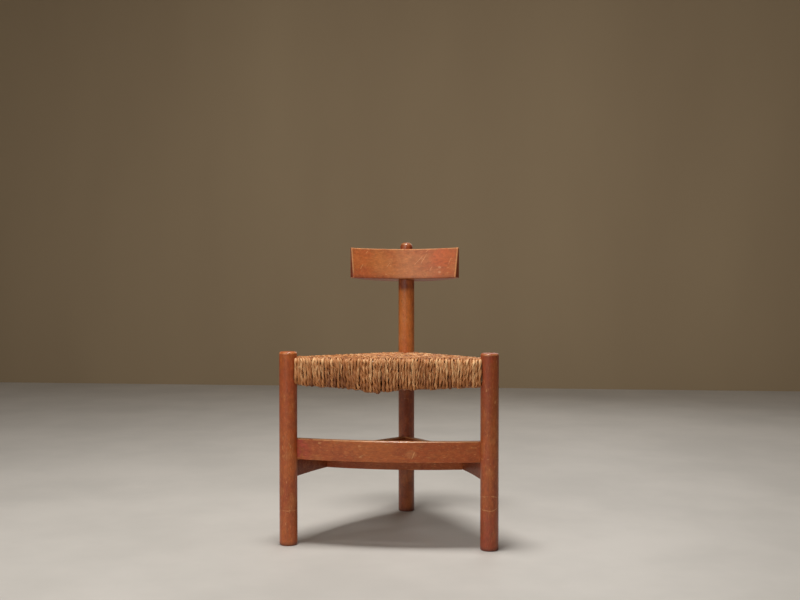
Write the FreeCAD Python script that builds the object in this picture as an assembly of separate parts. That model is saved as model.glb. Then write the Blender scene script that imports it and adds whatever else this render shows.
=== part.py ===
"""Three-legged corner chair: round posts, bowed stretchers, a crescent back block and a rush seat.

Units are millimetres. While the chair is built, X runs along the line of the two front legs, Y runs
back to the rear post and Z is up from the floor, with zero midway between the front legs. At the
end every piece moves so that the middle of the footprint is at zero.
"""
import FreeCAD, Part
import math
import os

from FreeCAD import Placement, Rotation, Vector

# Plan of the three legs
leg_spacing = 468.0
leg_depth = 405.0

# Round posts
post_diameter = 42.0
leg_above_seat = 12.5
leg_top_round = 5.0
leg_foot_bevel = 2.0

# Rear post above the seat
back_seat_height = 613.8
peg_diameter = 32.0
peg_above_block = 21.0
peg_dome_round = 12.0

# Back block, a tilted slab with a hollow front
block_height = 78.5
block_tilt = 7.5
block_width = 286.5
block_middle_thickness = 62.0
block_end_thickness = 14.5
block_end_flare = 40.0
block_front_radius = 380.0
block_behind_post = 6.0
block_edge_bevel = 1.5

# Stretchers, all sawn to the same bow
stretcher_bow = 29.0
stretcher_set_back = 11.0
stretcher_thickness = 16.0
stretcher_edge_bevel = 1.5
front_stretcher_bottom = 200.0
front_stretcher_height = 48.5
side_stretcher_height = 40.5

# Cross rail between the side stretchers
cross_rail_back = 120.0
cross_rail_bow = 19.0
cross_rail_thickness = 16.0

# Tenons
tenon_thickness = 10.0
tenon_shoulder = 6.0
tenon_to_leg_axis = 7.0
cross_tenon_length = 9.0
cross_tenon_thickness = 8.0
joint_clearance = 0.1

# Seat frame and rush
seat_top = 438.5
seat_drop = 15.0
seat_rail_thickness = 24.0
seat_rail_height = 48.0
seat_rail_round = 5.0
rush_thickness = 7.0
rush_roll_round = 11.0
rush_dish = 7.0
rush_belly = 16.0
rush_under_bevel = 6.0
rush_clearance = 0.3
stuffing_round = 4.0

post_radius = post_diameter / 2
peg_radius = peg_diameter / 2
block_upright_height = block_height / math.cos(math.radians(block_tilt))
half_spacing = leg_spacing / 2
front_left = Vector(-half_spacing, 0, 0)
front_right = Vector(half_spacing, 0, 0)
rear = Vector(0, leg_depth, 0)

# The sides run anticlockwise, so that the inside of the chair is on the left of each
sides = {"front": (front_left, front_right), "right": (front_right, rear), "left": (rear, front_left)}

# The side stretchers enter the legs just under the front one
side_stretcher_bottom = front_stretcher_bottom - joint_clearance - side_stretcher_height

rail_top = seat_top - rush_thickness
rail_bottom = rail_top - seat_rail_height
rush_bottom = rail_bottom - rush_thickness
block_front_middle = block_behind_post + post_radius - block_middle_thickness
cutter_length = 4 * leg_spacing


def solid_of(edges, height):
    """A closed outline, raised straight up."""
    return Part.Face(Part.Wire(Part.__sortEdges__(edges))).extrude(Vector(0, 0, height))


def polygon(points):
    """Straight edges through the points and back to the first."""
    return [Part.makeLine(a, b) for a, b in zip(points, points[1:] + points[:1])]


def side_length(side):
    start, end = sides[side]
    return (end - start).Length


def side_placement(side):
    """Turns and moves X onto a side, with the inside of the chair towards +Y."""
    start, end = sides[side]
    along = end - start
    turn = Rotation(Vector(0, 0, 1), math.degrees(math.atan2(along.y, along.x)))
    return Placement((start + end) * 0.5, turn)


def on_side(shape, side):
    """Carry a piece drawn on X to its side of the chair."""
    moved = shape.copy()
    moved.Placement = side_placement(side).multiply(shape.Placement)
    return moved


def middle_of_plan():
    """The point that lies equally far from all three sides, and that distance."""
    opposite = {"front": rear, "right": front_left, "left": front_right}
    perimeter = sum(side_length(side) for side in sides)
    shares = [corner * (side_length(side) / perimeter) for side, corner in opposite.items()]
    centre = sum(shares, Vector())
    return centre, centre.y


def mitre_space(side, gap):
    """All that is nearer to this side than to the others, less a gap, carried out past the legs."""
    centre, inradius = middle_of_plan()
    start, end = sides[side]
    outward = (post_diameter + inradius) / inradius
    corners = [centre + (corner - centre) * outward for corner in (start, end)]
    middle = (start + end) * 0.5
    inward = (centre - middle).normalize()
    points = [point - inward * gap for point in (centre, *corners)]
    return solid_of(polygon(points), cutter_length)


def largest(shape):
    """The main solid that a cut leaves."""
    return max(shape.Solids, key=lambda solid: solid.Volume)


def soften(shape, radius, picked):
    """Round over the edges that the test picks."""
    return shape.makeFillet(radius, [edge for edge in shape.Edges if picked(edge)])


def bevel(shape, width, picked):
    """Take the corner off the edges that the test picks."""
    return shape.makeChamfer(width, [edge for edge in shape.Edges if picked(edge)])


# Round posts

def post(height):
    """A turned post on the floor, with the corner taken off its foot."""
    cylinder = Part.makeCylinder(post_radius, height)
    return bevel(cylinder, leg_foot_bevel, lambda edge: edge.BoundBox.ZMax < leg_foot_bevel)


def bored_space(centre, extra):
    """The whole column of a post, a little larger, to cut what meets it."""
    return Part.makeCylinder(post_radius + extra, cutter_length, centre - Vector(0, 0, leg_spacing))


def front_leg(centre):
    height = seat_top + leg_above_seat
    leg = soften(post(height), leg_top_round, lambda edge: edge.BoundBox.ZMin > height - leg_top_round)
    leg.translate(centre)
    return leg


def above_back_seat(gap):
    """All that lies over the sloping seat of the back block, lifted by a gap."""
    slab = Part.makeBox(leg_spacing, leg_spacing, leg_spacing)
    slab.translate(Vector(-half_spacing, -half_spacing, 0))
    slab.rotate(Vector(0, 0, 0), Vector(1, 0, 0), -block_tilt)
    slab.translate(rear + Vector(0, 0, back_seat_height + gap))
    return slab


def rear_post():
    """The post stops at a sloping shoulder, and a thinner domed peg goes on through the block."""
    body = post(back_seat_height + post_diameter)
    body.translate(rear)
    body = body.cut(above_back_seat(-joint_clearance))
    peg_base = back_seat_height - post_diameter
    peg_length = post_diameter + block_upright_height + peg_above_block
    peg = Part.makeCylinder(peg_radius, peg_length)
    peg = soften(peg, peg_dome_round, lambda edge: edge.BoundBox.ZMin > peg_length - peg_dome_round)
    peg.translate(rear + Vector(0, 0, peg_base))
    return body.fuse(peg).removeSplitter()


# Back block

def block_front_y(x):
    """Where the hollow front stands at the underside, measured back from the rear post's axis."""
    return block_front_middle - block_front_radius + math.sqrt(block_front_radius ** 2 - x ** 2)


def block_blank():
    """The upright blank: a round back and two flared ends, with wood to spare in front."""
    flare = math.radians(block_end_flare)
    corner_x = block_width / 2
    front_x = corner_x - block_end_thickness * math.sin(flare)
    corner_y = block_front_y(front_x) + block_end_thickness * math.cos(flare)
    reach = block_middle_thickness + block_width / 4
    tip_x = corner_x - reach * math.tan(flare)
    back = Part.Arc(
        Vector(-corner_x, corner_y, 0),
        Vector(0, block_behind_post + post_radius, 0),
        Vector(corner_x, corner_y, 0),
    ).toShape()
    right, left = Vector(corner_x, corner_y, 0), Vector(-corner_x, corner_y, 0)
    right_tip, left_tip = Vector(tip_x, corner_y - reach, 0), Vector(-tip_x, corner_y - reach, 0)
    front = [(right, right_tip), (right_tip, left_tip), (left_tip, left)]
    blank = solid_of([back] + [Part.makeLine(*ends) for ends in front], cutter_length)
    blank.translate(rear + Vector(0, 0, back_seat_height - block_height))
    return blank


def block_hollow():
    """The large cylinder, square to the tilted slab, that the front of the block is hollowed to."""
    underside = back_seat_height - block_front_middle * math.tan(math.radians(block_tilt))
    hollow = Part.makeCylinder(block_front_radius, cutter_length)
    hollow.translate(Vector(0, -block_front_radius, -cutter_length / 2))
    hollow.rotate(Vector(0, 0, 0), Vector(1, 0, 0), -block_tilt)
    hollow.translate(rear + Vector(0, block_front_middle, underside))
    return hollow


def back_block():
    """A slab on the slope of its seat, with the blank's ends and back, the hollow front and a bore."""
    slab = above_back_seat(0).cut(above_back_seat(block_upright_height))
    block = largest(block_blank().common(slab).cut(block_hollow()))
    block = bevel(block, block_edge_bevel, lambda edge: True)
    bore = Part.makeCylinder(peg_radius + joint_clearance, cutter_length, rear)
    return block.cut(bore)


# Bowed boards

def bow_radius(length, bow):
    return (length ** 2 / 4 + bow ** 2) / (2 * bow)


def bow_disc(side, offset):
    """All the space inside a side's bow, up to a face this far out from its middle line."""
    radius = bow_radius(side_length(side), stretcher_bow)
    centre = Vector(0, radius - stretcher_bow + stretcher_set_back, 0)
    return on_side(Part.makeCylinder(radius + offset, cutter_length, centre), side)


def bowed_board(side, thickness, bottom, height, end_gap):
    """A board bowed outwards between two legs, stopping short of each leg's axis by the end gap."""
    length = side_length(side)
    radius = bow_radius(length, stretcher_bow)
    centre = Vector(0, radius - stretcher_bow + stretcher_set_back, bottom)
    half_angle = math.asin(length / 2 / radius) - end_gap / radius

    def at(distance, angle):
        return centre + Vector(distance * math.sin(angle), -distance * math.cos(angle), 0)

    outer, inner = radius + thickness / 2, radius - thickness / 2
    edges = [
        Part.Arc(at(outer, -half_angle), at(outer, 0), at(outer, half_angle)).toShape(),
        Part.Arc(at(inner, -half_angle), at(inner, 0), at(inner, half_angle)).toShape(),
        Part.makeLine(at(outer, -half_angle), at(inner, -half_angle)),
        Part.makeLine(at(outer, half_angle), at(inner, half_angle)),
    ]
    return on_side(solid_of(edges, height), side)


def mitred_at_rear(board, side, gap):
    """The two side stretchers enter the rear post at one height, so each keeps to its own half."""
    if side == "front":
        return board
    near_x = gap if side == "right" else -cutter_length - gap
    own_half = Part.makeBox(cutter_length, cutter_length, cutter_length, Vector(near_x, 0, 0))
    return board.common(own_half)


def stretcher_tenon(side, bottom, height, extra):
    """Both tenons of a stretcher in one thin board, or their mortises when it is given some extra."""
    tenon = bowed_board(
        side, tenon_thickness + 2 * extra,
        bottom + tenon_shoulder - extra, height - 2 * tenon_shoulder + 2 * extra,
        tenon_to_leg_axis - extra,
    )
    return mitred_at_rear(tenon, side, joint_clearance - extra)


def stretcher(side, bottom, height):
    """A bowed board with its ends scribed to the round legs and a tenon in each."""
    board = bowed_board(side, stretcher_thickness, bottom, height, 0)
    for centre in sides[side]:
        board = board.cut(bored_space(centre, joint_clearance))
    board = mitred_at_rear(board, side, joint_clearance)
    board = bevel(largest(board), stretcher_edge_bevel, lambda edge: edge.Length > half_spacing)
    return board.fuse(stretcher_tenon(side, bottom, height, 0)).removeSplitter()


def inside_side_stretchers(depth):
    """The space between the side stretchers' inner faces, widened into them by a depth."""
    offset = depth - stretcher_thickness / 2
    return bow_disc("right", offset).common(bow_disc("left", offset))


def cross_board(thickness, bottom, height):
    """A bowed board that runs past both side stretchers, before its ends are cut."""
    length = leg_spacing * (1 - cross_rail_back / leg_depth)
    radius = bow_radius(length, cross_rail_bow)
    ring = Part.makeCylinder(radius + thickness / 2, height)
    ring = ring.cut(Part.makeCylinder(radius - thickness / 2, height))
    ring.translate(Vector(0, cross_rail_back + radius, bottom))
    between_legs = Part.makeBox(leg_spacing, leg_depth, height)
    between_legs.translate(Vector(-half_spacing, 0, bottom))
    return ring.common(between_legs)


def cross_tenon(extra):
    """Both tenons of the cross rail, or their mortises when it is given some extra."""
    board = cross_board(
        cross_tenon_thickness + 2 * extra, side_stretcher_bottom + tenon_shoulder - extra,
        side_stretcher_height - 2 * tenon_shoulder + 2 * extra,
    )
    return board.common(inside_side_stretchers(cross_tenon_length + extra))


def cross_rail():
    board = cross_board(cross_rail_thickness, side_stretcher_bottom, side_stretcher_height)
    board = bevel(board, stretcher_edge_bevel, lambda edge: edge.Length > half_spacing)
    board = board.common(inside_side_stretchers(-joint_clearance))
    return board.fuse(cross_tenon(0)).removeSplitter()


# Seat

def tip_seat(shape):
    """Tip a piece of the seat about the front rail's top, so that it drops towards the rear post."""
    tipped = shape.copy()
    tipped.rotate(Vector(0, 0, seat_top), Vector(1, 0, 0), -math.degrees(math.atan(seat_drop / leg_depth)))
    return tipped


def rail_bar(side):
    """A straight seat rail from leg axis to leg axis, mitred to its neighbours."""
    length = side_length(side)
    bar = Part.makeBox(length, seat_rail_thickness, seat_rail_height)
    bar = soften(bar, seat_rail_round, lambda edge: edge.Length > half_spacing)
    bar.translate(Vector(-length / 2, -seat_rail_thickness / 2, rail_bottom))
    return on_side(bar, side).common(mitre_space(side, joint_clearance))


def rail_tenon(side, extra):
    """Both tenons of a seat rail, mitred where two rails meet inside a leg."""
    length = side_length(side) - 2 * (tenon_to_leg_axis - extra)
    width, height = tenon_thickness + 2 * extra, seat_rail_height - 2 * tenon_shoulder + 2 * extra
    bar = Part.makeBox(length, width, height)
    bar.translate(Vector(-length / 2, -width / 2, rail_bottom + tenon_shoulder - extra))
    return on_side(bar, side).common(mitre_space(side, joint_clearance - extra))


def seat_rail(side):
    """A rail under the rush, scribed to its two legs and tenoned into them."""
    bar = tip_seat(rail_bar(side))
    for centre in sides[side]:
        bar = bar.cut(bored_space(centre, joint_clearance))
    return bar.fuse(tip_seat(rail_tenon(side, 0))).removeSplitter()


def seat_sector(side, outer, inset, roundness, belly):
    """One of the three parts of the seat: rolled outside, dished to the middle, mitred to the others."""
    centre, inradius = middle_of_plan()
    half = side_length(side) / 2 - post_radius
    top, bottom, reach = seat_top - inset, rush_bottom + inset, inradius + seat_rail_thickness
    dish_start = seat_rail_thickness / 2 + rush_roll_round
    across = [
        (outer, bottom - 2 * belly), (outer, top), (dish_start, top),
        (reach, top - rush_dish), (reach, bottom - 2 * belly),
    ]
    outline = Part.Wire(polygon([Vector(-half, y, z) for y, z in across]))
    sector = Part.Face(outline).extrude(Vector(2 * half, 0, 0))

    def outside(edge):
        return edge.Length > half and edge.BoundBox.YMax < outer + roundness

    def above(edge):
        return edge.BoundBox.ZMin > rail_bottom

    sector = soften(sector, roundness, lambda edge: outside(edge) and above(edge))
    if belly:
        radius = ((centre - front_left).Length ** 2 + belly ** 2) / (2 * belly)
        above_middle = side_placement(side).inverse().multVec(centre + Vector(0, 0, bottom - belly + radius))
        sector = sector.common(Part.makeSphere(radius, above_middle, Vector(1, 0, 0)))
        sector = bevel(sector, rush_under_bevel, lambda edge: outside(edge) and not above(edge))
    return on_side(sector, side).common(mitre_space(side, 0))


def seat_form(outer, inset, roundness, belly):
    """The three sectors joined, cut round the legs and tipped with the seat."""
    sectors = [seat_sector(side, outer, inset, roundness, belly) for side in sides]
    form = tip_seat(sectors[0].fuse(sectors[1:]).removeSplitter())
    for corner in (front_left, front_right, rear):
        form = form.cut(bored_space(corner, rush_clearance))
    return form


def rush_stuffing():
    """The packing of loose rush that fills the seat inside the rails."""
    outer = seat_rail_thickness / 2 + rush_clearance
    return seat_form(outer, rush_thickness + rush_clearance, stuffing_round, 0)


def rush_weave():
    """The woven rush: a rolled edge round each rail, and a skin over and under the stuffing."""
    outer = -seat_rail_thickness / 2 - rush_thickness
    weave = seat_form(outer, 0, rush_roll_round, rush_belly)
    inside = -seat_rail_thickness / 2 - rush_clearance
    return weave.cut(seat_form(inside, rush_thickness - rush_clearance, seat_rail_round, 0))


def mortised(leg, joined):
    """Cut the mortises of these sides into a leg."""
    for side in joined:
        leg = leg.cut(tip_seat(rail_tenon(side, joint_clearance)))
        if side == "front":
            bottom, height = front_stretcher_bottom, front_stretcher_height
        else:
            bottom, height = side_stretcher_bottom, side_stretcher_height
        leg = leg.cut(stretcher_tenon(side, bottom, height, joint_clearance))
    return leg


parts = {
    "front_leg_left": mortised(front_leg(front_left), ["front", "left"]),
    "front_leg_right": mortised(front_leg(front_right), ["front", "right"]),
    "rear_post": mortised(rear_post(), ["left", "right"]),
    "back_block": back_block(),
    "front_stretcher": stretcher("front", front_stretcher_bottom, front_stretcher_height),
    "cross_rail": cross_rail(),
    "rush_weave": rush_weave(),
    "rush_stuffing": rush_stuffing(),
}
for side in ("left", "right"):
    board = stretcher(side, side_stretcher_bottom, side_stretcher_height)
    parts["side_stretcher_" + side] = board.cut(cross_tenon(joint_clearance))
for side in sides:
    parts["seat_rail_" + side] = seat_rail(side)

footprint_front = stretcher_set_back - stretcher_bow - stretcher_thickness / 2
footprint_back = leg_depth + post_radius + block_behind_post
to_origin = Vector(0, -(footprint_front + footprint_back) / 2, 0)

os.makedirs("parts", exist_ok=True)
for name, shape in parts.items():
    shape.translate(to_origin)
    shape.exportStep("parts/" + name + ".step")
    print(name, "solids", len(shape.Solids), "valid", shape.isValid(), "volume", round(shape.Volume))
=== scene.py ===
import math
import random

import bpy
from mathutils import Matrix, Vector, noise


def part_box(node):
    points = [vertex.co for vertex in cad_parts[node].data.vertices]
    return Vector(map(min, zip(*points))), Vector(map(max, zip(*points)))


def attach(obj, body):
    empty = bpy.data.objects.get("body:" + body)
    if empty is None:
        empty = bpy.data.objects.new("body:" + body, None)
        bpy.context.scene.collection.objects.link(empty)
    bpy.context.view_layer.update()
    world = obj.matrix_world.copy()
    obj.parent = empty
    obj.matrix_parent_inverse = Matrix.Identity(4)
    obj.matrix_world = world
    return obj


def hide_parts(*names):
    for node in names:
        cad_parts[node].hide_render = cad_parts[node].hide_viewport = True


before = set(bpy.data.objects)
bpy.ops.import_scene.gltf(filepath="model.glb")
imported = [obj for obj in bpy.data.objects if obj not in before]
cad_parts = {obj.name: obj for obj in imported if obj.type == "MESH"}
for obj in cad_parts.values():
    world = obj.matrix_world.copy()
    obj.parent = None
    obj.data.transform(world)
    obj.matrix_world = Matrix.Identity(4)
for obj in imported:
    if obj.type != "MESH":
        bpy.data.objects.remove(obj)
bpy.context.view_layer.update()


# Legs
# The legs are three turned beech posts, stained red-brown and waxed, with the stain worn thin in
# patches. The rear one carries on above the seat and ends in a thinner peg with a domed top.
# Each stain is a pair of colours, one where it lies thin and one where it lies deep.
left_stain = ((0.450, 0.108, 0.021), (0.352, 0.068, 0.016))
right_stain = ((0.375, 0.089, 0.019), (0.295, 0.056, 0.015))
post_stain = ((0.510, 0.150, 0.031), (0.430, 0.098, 0.023))
stain_crimson = (0.340, 0.049, 0.019)
# A deep red-brown that serves both as deep stain and as painted shade on the rear post and back
# block.
maroon_stain_and_shade = (0.130, 0.022, 0.010)
bare_beech = (0.600, 0.270, 0.100)
scratch_pale = (0.640, 0.300, 0.120)
dirt_dark = (0.060, 0.020, 0.012)
leg_gloss = 0.42
ring_width = 0.0014
ring_wander = 0.012
rim_reach = 0.0035
dirty_foot = 0.012


class Socket:
    """An output in a material, on which sums can be written."""

    def __init__(self, finish, output):
        self.finish = finish
        self.output = output

    def __add__(self, other):
        return self.finish.sum_of("ADD", self, other)

    def __sub__(self, other):
        return self.finish.sum_of("SUBTRACT", self, other)

    def __rsub__(self, other):
        return self.finish.sum_of("SUBTRACT", other, self)

    def __mul__(self, other):
        return self.finish.sum_of("MULTIPLY", self, other)

    def __truediv__(self, other):
        return self.finish.sum_of("DIVIDE", self, other)

    def __abs__(self):
        return self.finish.sum_of("ABSOLUTE", self)

    __radd__ = __add__
    __rmul__ = __mul__


class Finish:
    """A material with one Principled shader, built up from nodes."""

    def __init__(self, name, **constants):
        self.material = bpy.data.materials.new(name)
        self.material.use_nodes = True
        self.tree = self.material.node_tree
        self.shader = self.tree.nodes["Principled BSDF"]
        for socket, value in constants.items():
            self.shader.inputs[socket.replace("_", " ")].default_value = value

    def node(self, kind, values, output=0, stops=None, **settings):
        made = self.tree.nodes.new("ShaderNode" + kind)
        for setting, value in settings.items():
            setattr(made, setting, value)
        if stops:
            ramp = made.color_ramp.elements
            for extra in stops[2:]:
                ramp.new(extra[0])
            for element, (place, shade) in zip(ramp, stops):
                element.position = place
                element.color = (*shade, 1)
        for key, value in values.items():
            self.feed(made.inputs[key], value)
        return Socket(self, made.outputs[output])

    def feed(self, socket, value):
        if isinstance(value, Socket):
            self.tree.links.new(value.output, socket)
        elif isinstance(value, tuple) and socket.type == "RGBA":
            socket.default_value = (*value, 1)
        else:
            socket.default_value = value

    def sum_of(self, operation, *values):
        return self.node("Math", dict(enumerate(values)), operation=operation)

    def ramp(self, value, low, high):
        """Climbs smoothly from 0 at low to 1 at high, or falls if low is the larger."""
        start, end, zero, one = (low, high, 0, 1) if low < high else (high, low, 1, 0)
        values = {"Value": value, "From Min": start, "From Max": end, "To Min": zero, "To Max": one}
        return self.node("MapRange", values, interpolation_type="SMOOTHSTEP")

    def mix(self, factor, first, second):
        """Goes from the first colour to the second with the factor."""
        return self.node("Mix", {0: factor, 6: first, 7: second}, output=2, data_type="RGBA")

    def shade(self, colour, amount):
        """Darkens or lightens a colour by a factor that varies."""
        return self.node("VectorMath", {0: colour, "Scale": amount}, operation="SCALE")

    def place(self, turn=(0, 0, 0), stretch=(1, 1, 1), shift=(0, 0, 0)):
        """Object coordinates, moved, then turned, then stretched."""
        here = self.node("TexCoord", {}, output="Object")
        values = {"Vector": here, "Location": shift, "Rotation": turn}
        moved = self.node("Mapping", values, vector_type="TEXTURE")
        return self.node("VectorMath", {0: moved, 1: stretch}, operation="MULTIPLY")

    def noise(self, where, scale, detail=2.0, roughness=0.5):
        values = {"Vector": where, "Scale": scale, "Detail": detail, "Roughness": roughness}
        return self.node("TexNoise", values)

    def axis(self, where, letter):
        return self.node("SeparateXYZ", {"Vector": where}, output=letter)


def stained_beech(name, turn, seed, stain, crimson, worn, marks=None, gloss=0.26):
    """Stained beech whose grain runs along Z once its coordinates are turned."""
    finish = Finish(name, Specular_IOR_Level=0.3, Coat_Roughness=0.17)
    shift = (seed * 1.7, seed * 0.9, seed * 2.3)
    here = finish.place(turn, shift=shift)
    drawn_out = finish.place(turn, (1, 1, 0.45), shift)
    along = finish.place(turn, (1, 1, 0.035), shift)
    pores = finish.noise(along, 620, 2, 0.6)
    grain = finish.noise(along, 150, 3, 0.6)
    mottle = finish.noise(drawn_out, 170, 3, 0.7)
    clouds = finish.noise(drawn_out, 11, 3, 0.6)
    tides = finish.noise(drawn_out, 23, 2, 0.5)
    rubs = finish.noise(here, 30, 3, 0.6)
    flecks = finish.noise(finish.place(turn, (1, 1, 0.2), shift), 560, 1, 0.4)
    flecks = finish.ramp(flecks, 0.62, 0.70)
    specks = finish.ramp(finish.noise(here, 300, 2, 0.6), 0.63, 0.70)
    nicks = finish.noise(finish.place(turn, (1, 1, 0.35), shift), 160, 1, 0.3)
    nicks = finish.ramp(nicks, 0.74, 0.765)

    light, deep = stain
    colour = finish.mix(finish.ramp(clouds, 0.40, 0.62), light, deep)
    colour = finish.mix(finish.ramp(tides, 0.56, 0.72) * crimson, colour, stain_crimson)
    colour = finish.mix(finish.ramp(rubs, 0.52, 0.72) * worn, colour, bare_beech)
    colour = finish.mix(specks * 0.35, colour, dirt_dark)
    colour = finish.mix(nicks * 0.55, colour, bare_beech)
    colour = finish.mix(flecks * 0.30, colour, bare_beech)
    if marks:
        colour = marks(finish, colour)
    tone = 0.27 + mottle * 1.04 + grain * 0.24 + pores * 0.20
    rough = 0.39 + specks * 0.2 + finish.ramp(clouds, 0.3, 0.7) * 0.12
    waxed = 1 - 0.75 * finish.ramp(rubs, 0.45, 0.7)
    finish.feed(finish.shader.inputs["Base Color"], finish.shade(colour, tone))
    finish.feed(finish.shader.inputs["Roughness"], rough)
    finish.feed(finish.shader.inputs["Coat Weight"], gloss * waxed)
    height = pores * 0.3 + mottle * 0.25 - flecks * 0.3 - nicks * 0.8 - specks * 0.3
    bump = finish.node("Bump", {"Strength": 0.3, "Distance": 0.0004, "Height": height})
    finish.feed(finish.shader.inputs["Normal"], bump)
    return finish.material


def band(finish, value, middle, reach):
    """1 where a value is at the middle, falling to 0 at its reach on either side."""
    return finish.ramp(abs(value - middle), reach, reach * 0.3)


def broken(finish, scale, low=0.40, high=0.55):
    """Breaks a mark up, so that it comes and goes."""
    return finish.ramp(finish.noise(finish.place(), scale, 3, 0.6), low, high)


def leg_marks(rim, scratches, crimson=(), deep_stain_and_shade=()):
    """A rubbed rim, pale rings scratched round the post, crimson stretches where the stain lies
    thick, and dark stretches of deep stain and painted shade.

    A stretch climbs from nothing at its first height to its full strength at its second.
    """
    def marks(finish, colour):
        up = finish.axis(finish.place(), "Z")
        # Dark stretches: deeper stain together with painted shade.
        for low, high, strength in deep_stain_and_shade:
            thick = 0.7 + 0.3 * broken(finish, 42)
            factor = finish.ramp(up, low, high) * thick * strength
            colour = finish.mix(factor, colour, maroon_stain_and_shade)
        for low, high, strength in crimson:
            factor = finish.ramp(up, low, high) * broken(finish, 42) * strength
            colour = finish.mix(factor, colour, stain_crimson)
        for height in scratches:
            wander = finish.noise(finish.place(), 40, 1, 0.5) * ring_wander - ring_wander / 2
            ring = band(finish, up + wander, height, ring_width) * broken(finish, 55, 0.44, 0.56)
            colour = finish.mix(ring * 0.65, colour, bare_beech)
        rubbed = band(finish, up, rim, rim_reach) * broken(finish, 120)
        colour = finish.mix(rubbed * 0.45, colour, bare_beech)
        return finish.mix(finish.ramp(up, dirty_foot, 0.001) * 0.6, colour, dirt_dark)
    return marks


def give(node, material):
    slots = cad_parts[node].data.materials
    slots.clear()
    slots.append(material)


upright = (0, 0, 0)
leg_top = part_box("front_leg_left")[1].z
peg_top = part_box("rear_post")[1].z
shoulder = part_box("back_block")[0].z
# Painted shadow under the overhanging back block, and painted shade below the seat, both on the
# rear post.
shade_under_block = (shoulder - 0.028, shoulder - 0.014, 0.82)
shade_under_seat = (0.405, 0.375, 0.66)
left_marks = leg_marks(
    rim=leg_top - 0.003,
    scratches=(0.083,),
    crimson=((0.22, 0.33, 0.3), (0.10, 0.02, 0.2)),
)
right_marks = leg_marks(
    rim=leg_top - 0.003,
    scratches=(0.1245, 0.212, 0.095),
    crimson=((0.34, 0.43, 0.35), (0.13, 0.06, 0.4)),
)
rear_marks = leg_marks(rim=peg_top - 0.004, scratches=(0.3,), deep_stain_and_shade=(shade_under_block, shade_under_seat))
left_beech = stained_beech(
    "beech_left_leg", upright, 3.0, left_stain, 0.35, 0.25, left_marks, leg_gloss
)
right_beech = stained_beech(
    "beech_right_leg", upright, 7.0, right_stain, 0.30, 0.25, right_marks, leg_gloss
)
rear_beech = stained_beech(
    "beech_rear_post", upright, 11.0, post_stain, 0.25, 0.2, rear_marks, leg_gloss
)
give("front_leg_left", left_beech)
give("front_leg_right", right_beech)
give("rear_post", rear_beech)


# Stretchers
# Three bowed boards tie the legs together, and a fourth crosses between the two side ones. They are
# sawn from the same beech, so the grain runs straight through the bow, and tenoned into the posts.
top_wear_and_highlight = 0.0030
worn_bottom = 0.0022
crimson_reach = 0.062
end_crimson = (0.400, 0.052, 0.032)


def in_front(finish, face):
    """1 on the front face of a piece, 0 a centimetre behind it."""
    return finish.ramp(finish.axis(finish.place(), "Y"), face + 0.010, face + 0.006)


def scratch(finish, start, end, width, face):
    """A straight scratch on a front face, from one (x, z) to another."""
    run, rise = end[0] - start[0], end[1] - start[1]
    length = math.hypot(run, rise)
    across = finish.axis(finish.place(), "X") - start[0]
    up = finish.axis(finish.place(), "Z") - start[1]
    along = (across * run + up * rise) / length
    aside = abs(up * run - across * rise) / length
    ends = finish.ramp(abs(along - length / 2), length / 2, length / 4)
    return finish.ramp(aside, width, width * 0.3) * ends * in_front(finish, face)


def blotch(finish, middle, reach, face):
    """A patch with a ragged edge on a front face, round an (x, z)."""
    across = (finish.axis(finish.place(), "X") - middle[0]) / reach[0]
    up = (finish.axis(finish.place(), "Z") - middle[1]) / reach[1]
    ragged = finish.noise(finish.place(), 90, 3, 0.6) * 1.2 - 0.6
    return finish.ramp(across * across + up * up + ragged, 1.1, 0.3) * in_front(finish, face)


def board_marks(node, crimson_end):
    """A top edge worn pale and painted with a highlight, a little wear along the bottom one, and a
    left end stained crimson.
    """
    low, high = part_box(node)

    def marks(finish, colour):
        up = finish.axis(finish.place(), "Z")
        across = finish.axis(finish.place(), "X")
        end = finish.ramp(across, low.x + crimson_reach, low.x + 0.022)
        end = end * broken(finish, 36, 0.36, 0.5)
        colour = finish.mix(end * crimson_end, colour, end_crimson)
        # The pale top edge is wear together with a painted highlight from the light above.
        top = finish.ramp(up, high.z - top_wear_and_highlight, high.z - 0.0012)
        top = top * broken(finish, 70, 0.30, 0.50)
        bottom = finish.ramp(up, low.z + worn_bottom, low.z + 0.0010)
        bottom = bottom * broken(finish, 90, 0.45, 0.60)
        colour = finish.mix(top * 0.75 + bottom * 0.35, colour, bare_beech)
        if node == "front_stretcher":
            pale = blotch(finish, (0.0568, 0.2197), (0.014, 0.011), low.y)
            colour = finish.mix(pale * 0.25, colour, bare_beech)
            scored = scratch(finish, (0.0568, 0.2071), (0.0648, 0.2267), 0.0015, low.y)
            colour = finish.mix(scored * 0.85, colour, scratch_pale)
        return colour
    return marks


leg_depth = 0.405
half_spacing = 0.234
side_angle = math.atan2(leg_depth, half_spacing)
lying_across = (0, math.pi / 2, 0)
along_left = (0, math.pi / 2, side_angle)
along_right = (0, math.pi / 2, -side_angle)
board_stain = ((0.425, 0.108, 0.022), (0.362, 0.076, 0.017))
# The side stretchers and the cross rail, under the seat, carry a deeper stain darkened further as
# painted shade.
side_stain_and_shade = ((0.240, 0.052, 0.013), (0.190, 0.036, 0.010))
cross_stain_and_shade = ((0.370, 0.086, 0.019), (0.300, 0.058, 0.014))
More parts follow.
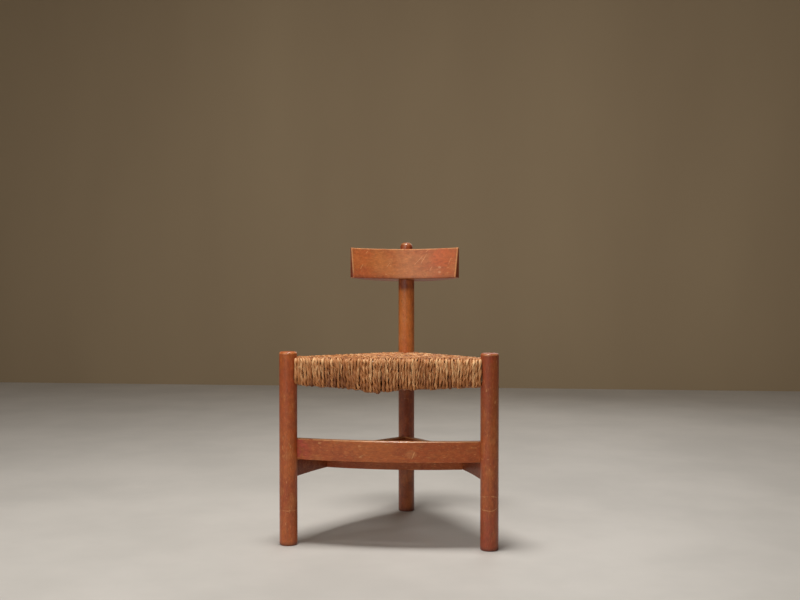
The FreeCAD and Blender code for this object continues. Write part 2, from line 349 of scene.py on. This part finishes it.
# Grain direction, seed, stain, crimson, crimson at the left end, and gloss
stretcher_looks = {
    "front_stretcher": (lying_across, 5.0, board_stain, 0.15, 0.75, 0.26),
    "side_stretcher_left": (along_left, 17.0, side_stain_and_shade, 0.3, 0.0, 0.12),
    "side_stretcher_right": (along_right, 23.0, side_stain_and_shade, 0.3, 0.0, 0.12),
    "cross_rail": (lying_across, 29.0, cross_stain_and_shade, 0.4, 0.0, 0.12),
}
for node, (turn, seed, stain, crimson, crimson_end, gloss) in stretcher_looks.items():
    marks = board_marks(node, crimson_end)
    give(node, stained_beech("beech_" + node, turn, seed, stain, crimson, 0.2, marks, gloss))


# Back block
# A thick crescent of beech, hollowed in front to fit the back and tilted, that sits on the shoulder
# of the rear post. Its peg hole is bored right through, and its long edges have worn pale.
block_stain = ((0.412, 0.119, 0.028), (0.378, 0.086, 0.022))
block_tilt = math.radians(7.5)
block_flare = math.radians(40)
block_height = 0.0785
block_gloss = 0.08
face_reach = 0.022
peg_stand = 0.021
post_axis = (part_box("rear_post")[0].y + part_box("rear_post")[1].y) / 2
front_corner = (0.14325, 0.1537)
middle_pale = (0.530, 0.205, 0.060)
spot_pale = (0.640, 0.320, 0.150)
# Patches on the face: middle (x, z), reach, strength and colour
face_patches = (
    ((0.0978, 0.6752), (0.036, 0.026), 0.5, (0.500, 0.100, 0.024)),
    ((-0.1143, 0.6729), (0.034, 0.022), 0.40, (0.480, 0.110, 0.030)),
    ((0.0915, 0.6482), (0.0046, 0.0038), 0.5, spot_pale),
    ((0.0910, 0.6358), (0.0046, 0.0038), 0.5, spot_pale),
)
# Scratches on the face, each from one (x, z) to another
face_scratches = (
    ((0.0385, 0.6529), (0.0583, 0.6858)),
    ((0.0213, 0.6516), (0.0490, 0.6805)),
    ((0.0530, 0.6871), (0.0622, 0.6950)),
    ((-0.1170, 0.6424), (-0.1090, 0.6583)),
    ((0.1136, 0.6542), (0.1235, 0.6752)),
    ((-0.0503, 0.6464), (-0.0397, 0.6609)),
    ((0.0636, 0.6385), (0.0728, 0.6516)),
    ((-0.1036, 0.6834), (-0.0969, 0.6927)),
)
face_scratch_width = 0.0009
worn_edge = 0.0030
worn_corner = 0.0020


def block_marks(finish, colour):
    """Ends and bottom edge darkened as painted shade, worn corners, a pale top edge and middle, a
    redder right and scratches.
    """
    across = finish.axis(finish.place(), "X")
    back = finish.axis(finish.place(), "Y") - post_axis
    up = finish.axis(finish.place(), "Z") - (peg_top - peg_stand)
    below_top = back * -math.sin(block_tilt) - up * math.cos(block_tilt)
    from_corner = (front_corner[0] - abs(across)) * math.cos(block_flare)
    from_end = from_corner + (back + post_axis - front_corner[1]) * math.sin(block_flare)
    face = post_axis - face_reach

    middle = band(finish, across, -0.020, 0.078) * broken(finish, 20, 0.30, 0.55)
    colour = finish.mix(middle * 0.36, colour, middle_pale)
    right = finish.ramp(across, 0.045, 0.085) * broken(finish, 26)
    colour = finish.mix(right * 0.35, colour, (0.480, 0.105, 0.026))
    for place, reach, strength, shade in face_patches:
        colour = finish.mix(blotch(finish, place, reach, face) * strength, colour, shade)
    for start, end in face_scratches:
        scored = scratch(finish, start, end, face_scratch_width, face)
        colour = finish.mix(scored * 0.7, colour, scratch_pale)

    # Painted shade along the bottom edge, where the face turns under.
    bottom = finish.ramp(below_top, block_height - 0.010, block_height - 0.001)
    colour = finish.mix(bottom * 0.35, colour, maroon_stain_and_shade)
    top = band(finish, below_top, 0.001, worn_edge) * broken(finish, 60, 0.34, 0.54)
    colour = finish.mix(top * 0.6, colour, bare_beech)
    # Painted shade on the end faces, which turn away from the light.
    colour = finish.mix(finish.ramp(from_end, 0.0014, 0.0002) * 0.75, colour, maroon_stain_and_shade)
    corner = band(finish, from_end, worn_corner, worn_corner) * broken(finish, 60, 0.28, 0.48)
    return finish.mix(corner * 0.75, colour, bare_beech)


block_beech = stained_beech(
    "beech_back_block", lying_across, 2.0, block_stain, 0.2, 0.2, block_marks, block_gloss
)
give("back_block", block_beech)


# Seat rails
# Three plain beech rails are tenoned into the legs. They carry the rush, which
# hides them.
# Their colour is painted dark as shade, so that the gaps between the cords read as shadow.
rail_beech_and_painted_shade = ((0.16, 0.075, 0.030), (0.11, 0.045, 0.018))
for node in ("seat_rail_front", "seat_rail_left", "seat_rail_right"):
    give(node, stained_beech("beech_" + node, lying_across, 31.0, rail_beech_and_painted_shade, 0.0, 0.1))


# Rush seat
# One long cord of twisted rush is wound round the three rails. Its turns lie square to each rail
# and meet in three seams from the legs to the middle, and they hang a little loose underneath.
# Here and there a leaf has come loose on the face, and short ends hang from the lower edge.
cords_per_side = 62
leaves_per_side = 150
ends_per_side = 34
cord_radius = 0.0034
lobe_points = 12
end_points = 5
seat_height = 0.4385
seat_drop = 0.015
rail_half_width = 0.012
rush_depth = 0.062
skin = 0.007
dish = 0.007
belly = 0.016
roll_radius = 0.0085
seam_dive = 0.008
lump_place = -0.030
lump_width = 0.044
lump_drop = 0.007
leg_cover = 0.85
leg_calm = 0.030
face_step = 0.004
lay_lengths = (0.034, 0.075)
cord_thickness = (0.86, 1.12)
cord_proud = (-0.0009, 0.0010)
spacing_chance = 0.0006
face_lean = 0.09
face_sway = 0.0030
small_sway = 0.0014
face_rough = 0.0012
slack_wave = 0.0022
slack_chance = 0.0012
leg_radius = (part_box("front_leg_left")[1].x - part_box("front_leg_left")[0].x) / 2


def leg_axis(node):
    low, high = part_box(node)
    return Vector(((low.x + high.x) / 2, (low.y + high.y) / 2, 0))


front_left = leg_axis("front_leg_left")
front_right = leg_axis("front_leg_right")
rear = leg_axis("rear_post")
seat_sides = {
    "front": (front_left, front_right),
    "right": (front_right, rear),
    "left": (rear, front_left),
}
opposite = {"front": rear, "right": front_left, "left": front_right}
perimeter = sum((end - start).length for start, end in seat_sides.values())
seat_middle = sum(
    (
        opposite[side] * ((end - start).length / perimeter)
        for side, (start, end) in seat_sides.items()
    ),
    Vector(),
)
inradius = seat_middle.y - front_left.y
belly_radius = ((front_left - seat_middle).length_squared + belly ** 2) / (2 * belly)
hinge = Matrix.Translation((0, front_left.y, seat_height))
seat_slope = math.atan(seat_drop / (rear.y - front_left.y))
tipped = hinge @ Matrix.Rotation(-seat_slope, 4, "X") @ hinge.inverted()


def soft_step(value, low, high):
    share = min(max((value - low) / (high - low), 0), 1)
    return share * share * (3 - 2 * share)


def evenly(start, end, step):
    count = max(2, math.ceil(abs(end - start) / step))
    return [start + (end - start) * i / count for i in range(count + 1)]


def half_length(side):
    start, end = seat_sides[side]
    return (end - start).length / 2


def side_axes(side):
    """The middle of a rail, the way along it and the way in to the seat."""
    start, end = seat_sides[side]
    ahead = (end - start).normalized()
    return (start + end) / 2, ahead, Vector((-ahead.y, ahead.x, 0))


def rush_route(side, along, slack=0.0):
    """One turn of the cord, from seam to seam over the top, down the face and back underneath."""
    middle, ahead, inward = side_axes(side)
    foot = middle + ahead * along
    seam = inradius * (1 - abs(along) / half_length(side))
    face = -rail_half_width - skin + cord_radius
    top = seat_height - cord_radius
    roll = face + roll_radius

    def under(inside):
        out = (foot + inward * inside - seat_middle).length
        lump = 0
        if side == "front":
            lump = lump_drop * math.exp(-abs((along - lump_place) / lump_width) ** 3)
        near_rail = soft_step(inside, inradius * 0.7, 0)
        height = seat_height - rush_depth - belly + out ** 2 / (2 * belly_radius) + cord_radius
        return height - (lump + slack) * near_rail

    def over(inside):
        return top - dish * max(0, inside - rail_half_width) / inradius

    def dive(inside):
        return seam_dive * soft_step(inside, seam - 1.3 * seam_dive, seam) ** 2

    near_seam = [seam, seam - 0.0015, seam - 0.0035]
    level = near_seam + evenly(seam - 0.006, roll, 0.006)
    quarter = [math.pi / 2 * i / 4 for i in range(1, 4)]
    bottom = under(roll)
    points = [(y, over(y) - dive(y)) for y in level]
    points += [
        (roll - roll_radius * math.sin(a), top - roll_radius * (1 - math.cos(a))) for a in quarter
    ]
    points += [(face, z) for z in evenly(top - roll_radius, bottom + roll_radius, face_step)]
    points += [
        (roll - roll_radius * math.cos(a), bottom + roll_radius * (1 - math.sin(a)))
        for a in quarter
    ]
    points += [(y, under(y) + dive(y)) for y in reversed(level)]
    return [(foot + inward * y + Vector((0, 0, z)), y, z) for y, z in points]


# The section of the cord: several folded leaves, so it has lobes of unequal size
lobed_section = []
for i in range(lobe_points):
    angle = math.tau * i / lobe_points
    reach = cord_radius * (1 + 0.22 * math.cos(2 * angle) + 0.12 * math.cos(3 * angle + 0.7))
    lobed_section.append((reach * math.cos(angle), reach * math.sin(angle)))


def cord_profile():
    profile = bpy.data.curves.new("cord_profile", "CURVE")
    profile.dimensions = "2D"
    outline = profile.splines.new("POLY")
    outline.points.add(len(lobed_section) - 1)
    for point, (x, y) in zip(outline.points, lobed_section):
        point.co = (x, y, 0, 1)
    outline.use_cyclic_u = True
    made = bpy.data.objects.new("cord_profile", profile)
    bpy.context.scene.collection.objects.link(made)
    return made


def lay_strand(curve, strands, points, tone):
    """Adds one strand to a side: its points are places with a twist, a thickness and a tone."""
    spline = curve.splines.new("POLY")
    spline.points.add(len(points) - 1)
    travelled = [0.0]
    for (before, *_), (after, *_) in zip(points, points[1:]):
        travelled.append(travelled[-1] + (after - before).length)
    for point, (place, twist, thick, *_) in zip(spline.points, points):
        point.co = (*(tipped @ place), 1)
        point.tilt = twist
        point.radius = thick
    tones = [tone + painted_light_and_aging for *_, painted_light_and_aging in points]
    strands.append(list(zip(tones, travelled)))


def beside_leg(place, side):
    """Pushes a cord along its rail until it clears the legs."""
    _, ahead, inward = side_axes(side)
    clear = leg_radius + 0.9 * cord_radius
    for axis in seat_sides[side]:
        off = place - axis
        across = off.dot(inward)
        if off.xy.length < clear:
            along = off.dot(ahead)
            push = math.sqrt(clear ** 2 - across ** 2) - abs(along)
            place = place + ahead * math.copysign(push, along)
    return place


def painted_light_and_aging(y, z):
    """A painted highlight where the rush turns over the rail, painted shade down the face and
    underneath, browner on the seat.
    """
    fall = seat_height - z
    if y > -rail_half_width:
        return -0.20 if fall < rush_depth / 2 else -0.35
    return 0.30 - 0.30 * soft_step(fall, 0.004, 0.020) - 0.30 * soft_step(fall, 0.025, rush_depth)


def wind_cords(side, curve, strands, chance):
    """All the turns round one rail, each with its own twist, thickness, slant and tone."""
    _, ahead, inward = side_axes(side)
    half = half_length(side) - leg_cover * leg_radius
    drift = chance.uniform(0, 100)
    for i in range(cords_per_side):
        along = -half + (i + 0.5) * 2 * half / cords_per_side
        along += chance.uniform(-spacing_chance, spacing_chance)
        near_leg = soft_step(half - abs(along), 0, leg_calm)
        lean = face_lean * noise.noise(Vector((along / 0.024, drift, 0))) * near_leg
        slack = slack_wave * noise.noise(Vector((along / 0.011, 0, drift)))
        slack += chance.uniform(-slack_chance, slack_chance)
        phase = chance.uniform(0, math.tau)
        lay = chance.uniform(*lay_lengths) * (1 if along > 0 else -1)
        thick = chance.uniform(*cord_thickness)
        proud = chance.uniform(*cord_proud)
        travelled = 0
        before = None
        points = []
        for place, y, z in rush_route(side, along, slack):
            travelled += (place - before).length if before else 0
            before = place
            wave = noise.noise(Vector((along / 0.03, travelled / 0.06, drift)))
            small = noise.noise(Vector((along / 0.004, travelled / 0.016, drift + 9)))
            on_face = y < -rail_half_width
            fall = max(0, seat_height - z) if y < 0 else 0
            shift = face_sway * wave * near_leg + small_sway * small + lean * fall
            place = place + ahead * shift - inward * (proud + face_rough * small) * on_face
            place = beside_leg(place, side)
            twist = phase + math.tau * travelled / lay + 0.9 * small
            points.append((place, twist, thick * (1 + 0.16 * small), painted_light_and_aging(y, z)))
        lay_strand(curve, strands, points, chance.random())


leaf_margin = 0.006
leaf_points = (4, 11)
leaf_slope = 0.22
leaf_lift = (0.0002, 0.0016)
leaf_thickness = (0.20, 0.40)


def pick_leaves(side, curve, strands, chance):
    """Single leaves that have sprung from the cords on the face and its upper edge."""
    middle, ahead, _ = side_axes(side)
    half = half_length(side) - leg_radius - leaf_margin
    core = Vector((0, 0, seat_height - rush_depth / 2))
    for _ in range(leaves_per_side):
        along = chance.uniform(-half, half)
        outside = [
            place for place, y, z in rush_route(side, along)
            if y < 0 and z > seat_height - rush_depth + 0.004
        ]
        length = chance.randint(*leaf_points)
        start = chance.randint(0, max(0, len(outside) - length))
        picked = outside[start:start + length]
        slope = chance.uniform(-leaf_slope, leaf_slope)
        lift = chance.uniform(*leaf_lift)
        thick = chance.uniform(*leaf_thickness)
        twist = chance.uniform(0, math.pi)
        points = []
        for i, place in enumerate(picked):
            share = i / (len(picked) - 1)
            out = (place - (middle + ahead * along + core)).normalized()
            away = cord_radius * 0.75 + lift * (0.3 + share * share)
            place = place + out * away + ahead * slope * (share - 0.5) * face_step * len(picked)
            taper = 1 - 0.75 * abs(2 * share - 1) ** 3
            points.append((place, twist + 2 * share, thick * taper, 0))
        lay_strand(curve, strands, points, chance.uniform(0.4, 1.15))


end_margin = 0.010
end_lengths = (0.005, 0.013)
end_slope = 0.7
end_curl = (-0.1, 0.5)
end_thickness = (0.18, 0.36)
share_at_lump = 0.3
spread_at_lump = 0.030


def hang_ends(side, curve, strands, chance):
    """Short broken ends along the lower edge of the face."""
    _, ahead, inward = side_axes(side)
    half = half_length(side) - leg_radius - end_margin
    for _ in range(ends_per_side):
        at_lump = side == "front" and chance.random() < share_at_lump
        if at_lump:
            along = chance.gauss(lump_place, spread_at_lump)
        else:
            along = chance.uniform(-half, half)
        outside = [
            place for place, y, z in rush_route(side, along) if y < -rail_half_width - 0.002
        ]
        start = outside[-2] - inward * 0.001
        length = chance.uniform(*end_lengths)
        slope = chance.uniform(-end_slope, end_slope)
        curl = chance.uniform(*end_curl)
        thick = chance.uniform(*end_thickness)
        points = []
        for i in range(end_points):
            share = i / (end_points - 1)
            down = Vector((0, 0, -length * share * (1 - 0.3 * share)))
            aside = ahead * slope * length * share ** 2
            place = start + down + aside + inward * curl * length * share ** 2
            points.append((place, slope * share, thick * (1 - 0.6 * share), 0))
        lay_strand(curve, strands, points, chance.uniform(0.1, 0.7))


def weave_side(side, profile, material):
    chance = random.Random(side)
    curve = bpy.data.curves.new("rush_" + side, "CURVE")
    curve.dimensions = "3D"
    curve.bevel_mode = "OBJECT"
    curve.bevel_object = profile
    curve.use_fill_caps = True
    strands = []
    wind_cords(side, curve, strands, chance)
    pick_leaves(side, curve, strands, chance)
    hang_ends(side, curve, strands, chance)
    seat = bpy.data.objects.new("rush_" + side, curve)
    bpy.context.scene.collection.objects.link(seat)
    bpy.ops.object.select_all(action="DESELECT")
    seat.select_set(True)
    bpy.context.view_layer.objects.active = seat
    bpy.ops.object.convert(target="MESH")
    seat = bpy.context.object

    # The conversion puts the end caps first, last strand first, and then the tubes in order
    rings = [ring for strand in reversed(strands) for ring in (strand[-1], strand[0])]
    rings += [ring for strand in strands for ring in strand]
    tone_values = [ring_tone for ring_tone, _ in rings for _ in lobed_section]
    fibre_values = [
        value for _, travelled in rings for x, y in lobed_section for value in (x, y, travelled)
    ]
    # Each ring's tone also carries its painted highlight or shade.
    tone = seat.data.attributes.new("tone", "FLOAT", "POINT")
    tone.data.foreach_set("value", tone_values)
    fibre = seat.data.attributes.new("fibre", "FLOAT_VECTOR", "POINT")
    fibre.data.foreach_set("vector", fibre_values)
    bpy.ops.object.mode_set(mode="EDIT")
    bpy.ops.mesh.select_all(action="SELECT")
    bpy.ops.mesh.remove_doubles(threshold=0.000001)
    bpy.ops.mesh.normals_make_consistent(inside=False)
    bpy.ops.object.mode_set(mode="OBJECT")
    seat.data.materials.clear()
    seat.data.materials.append(material)
    bpy.ops.object.shade_smooth()
    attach(seat, "root")
    return seat


def rush_finish(name, dark, middle, pale):
    """Dried rush: straw tones that differ from turn to turn, with fibres along each turn."""
    finish = Finish(name, Roughness=0.55, Specular_IOR_Level=0.35)
    # The tone holds painted highlight and shade as well as the straw tone of each turn.
    tone = finish.node("Attribute", {}, output="Fac", attribute_name="tone")
    lay = finish.node("Attribute", {}, output="Vector", attribute_name="fibre")
    drawn_out = finish.node("VectorMath", {0: lay, 1: (1, 1, 0.05)}, operation="MULTIPLY")
    shorter = finish.node("VectorMath", {0: lay, 1: (1, 1, 0.16)}, operation="MULTIPLY")
    fibres = finish.noise(drawn_out, 900, 3, 0.65)
    strips = finish.noise(shorter, 420, 2, 0.5)
    spots = finish.ramp(finish.noise(lay, 420, 2, 0.6), 0.62, 0.72)
    patch = finish.noise(finish.place(), 24, 3, 0.6)
    shade = tone * 0.36 + fibres * 0.50 + strips * 0.95 + patch * 0.3 - 0.57 - spots * 0.1
    stops = [(0.16, dark), (0.48, middle), (0.84, pale)]
    colour = finish.node("ValToRGB", {"Fac": shade}, stops=stops)
    finish.feed(finish.shader.inputs["Base Color"], colour)
    bump = finish.node("Bump", {"Strength": 0.7, "Distance": 0.0006, "Height": fibres})
    finish.feed(finish.shader.inputs["Normal"], bump)
    return finish.material


woven = rush_finish(
    "woven_rush", (0.170, 0.050, 0.013), (0.49, 0.186, 0.056), (0.90, 0.560, 0.27)
)
cord_section = cord_profile()
rush = {side: weave_side(side, cord_section, woven) for side in seat_sides}
bpy.data.objects.remove(cord_section)
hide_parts("rush_weave")


# Stuffing
# Loose rush is packed between the upper and the lower turns, and shows only as shadow between them.
# It is a soft triangular pad, kept clear of the rails and the cords.
bpy.ops.object.select_all(action="DESELECT")
pad_radius = inradius * 2 - 0.055
pad_depth = rush_depth - 0.018
pad_level = seat_height - rush_depth / 2 - 0.004
pad_edge = 0.008
bpy.ops.mesh.primitive_cylinder_add(vertices=3, radius=pad_radius, depth=pad_depth)
stuffing = bpy.context.object
stuffing.name = "rush_filling"
stuffing.location = tipped @ Vector((seat_middle.x, seat_middle.y, pad_level))
bpy.ops.object.transform_apply(location=True, rotation=True, scale=True)
softened = stuffing.modifiers.new("soft_edges", "BEVEL")
softened.width = pad_edge
softened.segments = 3
bpy.ops.object.modifier_apply(modifier="soft_edges")
# The stuffing's colour is painted near black as shade, so that it reads as shadow between the
# cords.
loose = rush_finish(
    "loose_rush", (0.05, 0.024, 0.010), (0.11, 0.055, 0.022), (0.2, 0.11, 0.05)
)
stuffing.data.materials.append(loose)
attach(stuffing, "root")
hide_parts("rush_stuffing")


# Room
# A plain pale floor and a plain wall stand in for the room. Soft lamps shine from above, in front,
# the left and behind, and the camera stands where the photograph was taken.
floor_size = 30.0
wall_distance = 3.4
bpy.ops.object.select_all(action="DESELECT")
bpy.ops.mesh.primitive_plane_add(size=floor_size)
floor = bpy.context.object
floor.name = "floor"
floor_finish = Finish("pale_floor", Roughness=0.6)
floor_tone = floor_finish.ramp(floor_finish.noise(floor_finish.place(), 2.5, 4, 0.6), 0.3, 0.7)
floor_colour = floor_finish.mix(floor_tone, (0.530, 0.495, 0.445), (0.590, 0.550, 0.495))
floor_finish.feed(floor_finish.shader.inputs["Base Color"], floor_colour)
floor.data.materials.append(floor_finish.material)

bpy.ops.object.select_all(action="DESELECT")
bpy.ops.mesh.primitive_plane_add(
    size=floor_size, location=(0, wall_distance, 0), rotation=(math.pi / 2, 0, 0)
)
bpy.ops.object.transform_apply(location=True, rotation=True, scale=True)
wall = bpy.context.object
wall.name = "wall"
wall_finish = Finish("plain_wall", Roughness=0.9)
wall_tone = wall_finish.noise(wall_finish.place((0, 0, 0), (1, 1, 0.3)), 1.6, 3, 0.5)
wall_colour = wall_finish.mix(wall_tone, (0.30, 0.215, 0.125), (0.38, 0.280, 0.165))
wall_finish.feed(wall_finish.shader.inputs["Base Color"], wall_colour)
wall.data.materials.append(wall_finish.material)

world = bpy.data.worlds.new("studio")
bpy.context.scene.world = world
world.use_nodes = True
background = world.node_tree.nodes["Background"]
background.inputs["Color"].default_value = (1.0, 0.84, 0.66, 1)
background.inputs["Strength"].default_value = 0.07


def soft_lamp(name, place, target, size, watts):
    data = bpy.data.lights.new(name, "AREA")
    data.shape = "DISK"
    data.size = size
    data.energy = watts
    lamp = bpy.data.objects.new(name, data)
    lamp.location = place
    lamp.rotation_euler = (Vector(target) - Vector(place)).to_track_quat("-Z", "Y").to_euler()
    lamp.visible_camera = False
    bpy.context.scene.collection.objects.link(lamp)


soft_lamp("key_lamp", (-0.15, -0.35, 3.0), (0, 0, 0.2), 0.8, 75)
soft_lamp("fill_lamp", (-1.1, -3.3, 1.7), (0, 0, 0.4), 2.2, 41)
soft_lamp("side_lamp", (-2.3, -1.9, 1.2), (0, 0, 0.4), 0.30, 7)
soft_lamp("back_lamp", (0.5, 2.3, 1.6), (0, 0, 0.45), 1.6, 9)

camera_place = (0.316, -2.786, 0.638)
camera_look = Vector((-0.1108, 0.9938, -math.tan(math.radians(1.46))))
camera = bpy.data.objects.new("camera", bpy.data.cameras.new("camera"))
camera.data.lens = 50.88
camera.location = camera_place
camera.rotation_euler = camera_look.to_track_quat("-Z", "Y").to_euler()
bpy.context.scene.collection.objects.link(camera)
bpy.context.scene.camera = camera
bpy.context.scene.view_settings.view_transform = "Standard"
